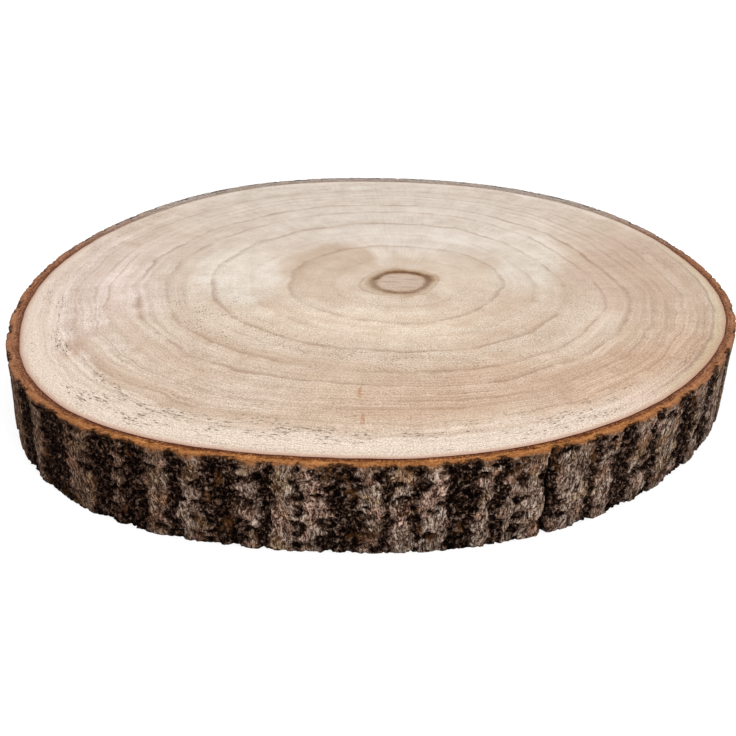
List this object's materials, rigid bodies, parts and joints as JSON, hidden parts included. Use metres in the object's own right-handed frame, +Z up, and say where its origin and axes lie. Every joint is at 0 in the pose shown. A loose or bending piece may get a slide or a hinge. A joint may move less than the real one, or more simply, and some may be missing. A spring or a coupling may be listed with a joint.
{
  "type": "wood slice",
  "caption": "Thick round slice sawn across a tree trunk, with flat faces, growth rings and rough bark all round its edge.",
  "frame": {"origin": "under the middle of the slice's box, on the surface it rests on", "axes": "+Z up through the slice's thickness, out of the sawn face that shows; +X to the right and -Y towards the viewer of the reference view"},
  "size_m": [0.333, 0.3276, 0.037],
  "materials": {
    "wood": "matte",
    "bark": "matte"
  },
  "bodies": {
    "root": {"wood_slice": "wood"}
  },
  "joints": []
}
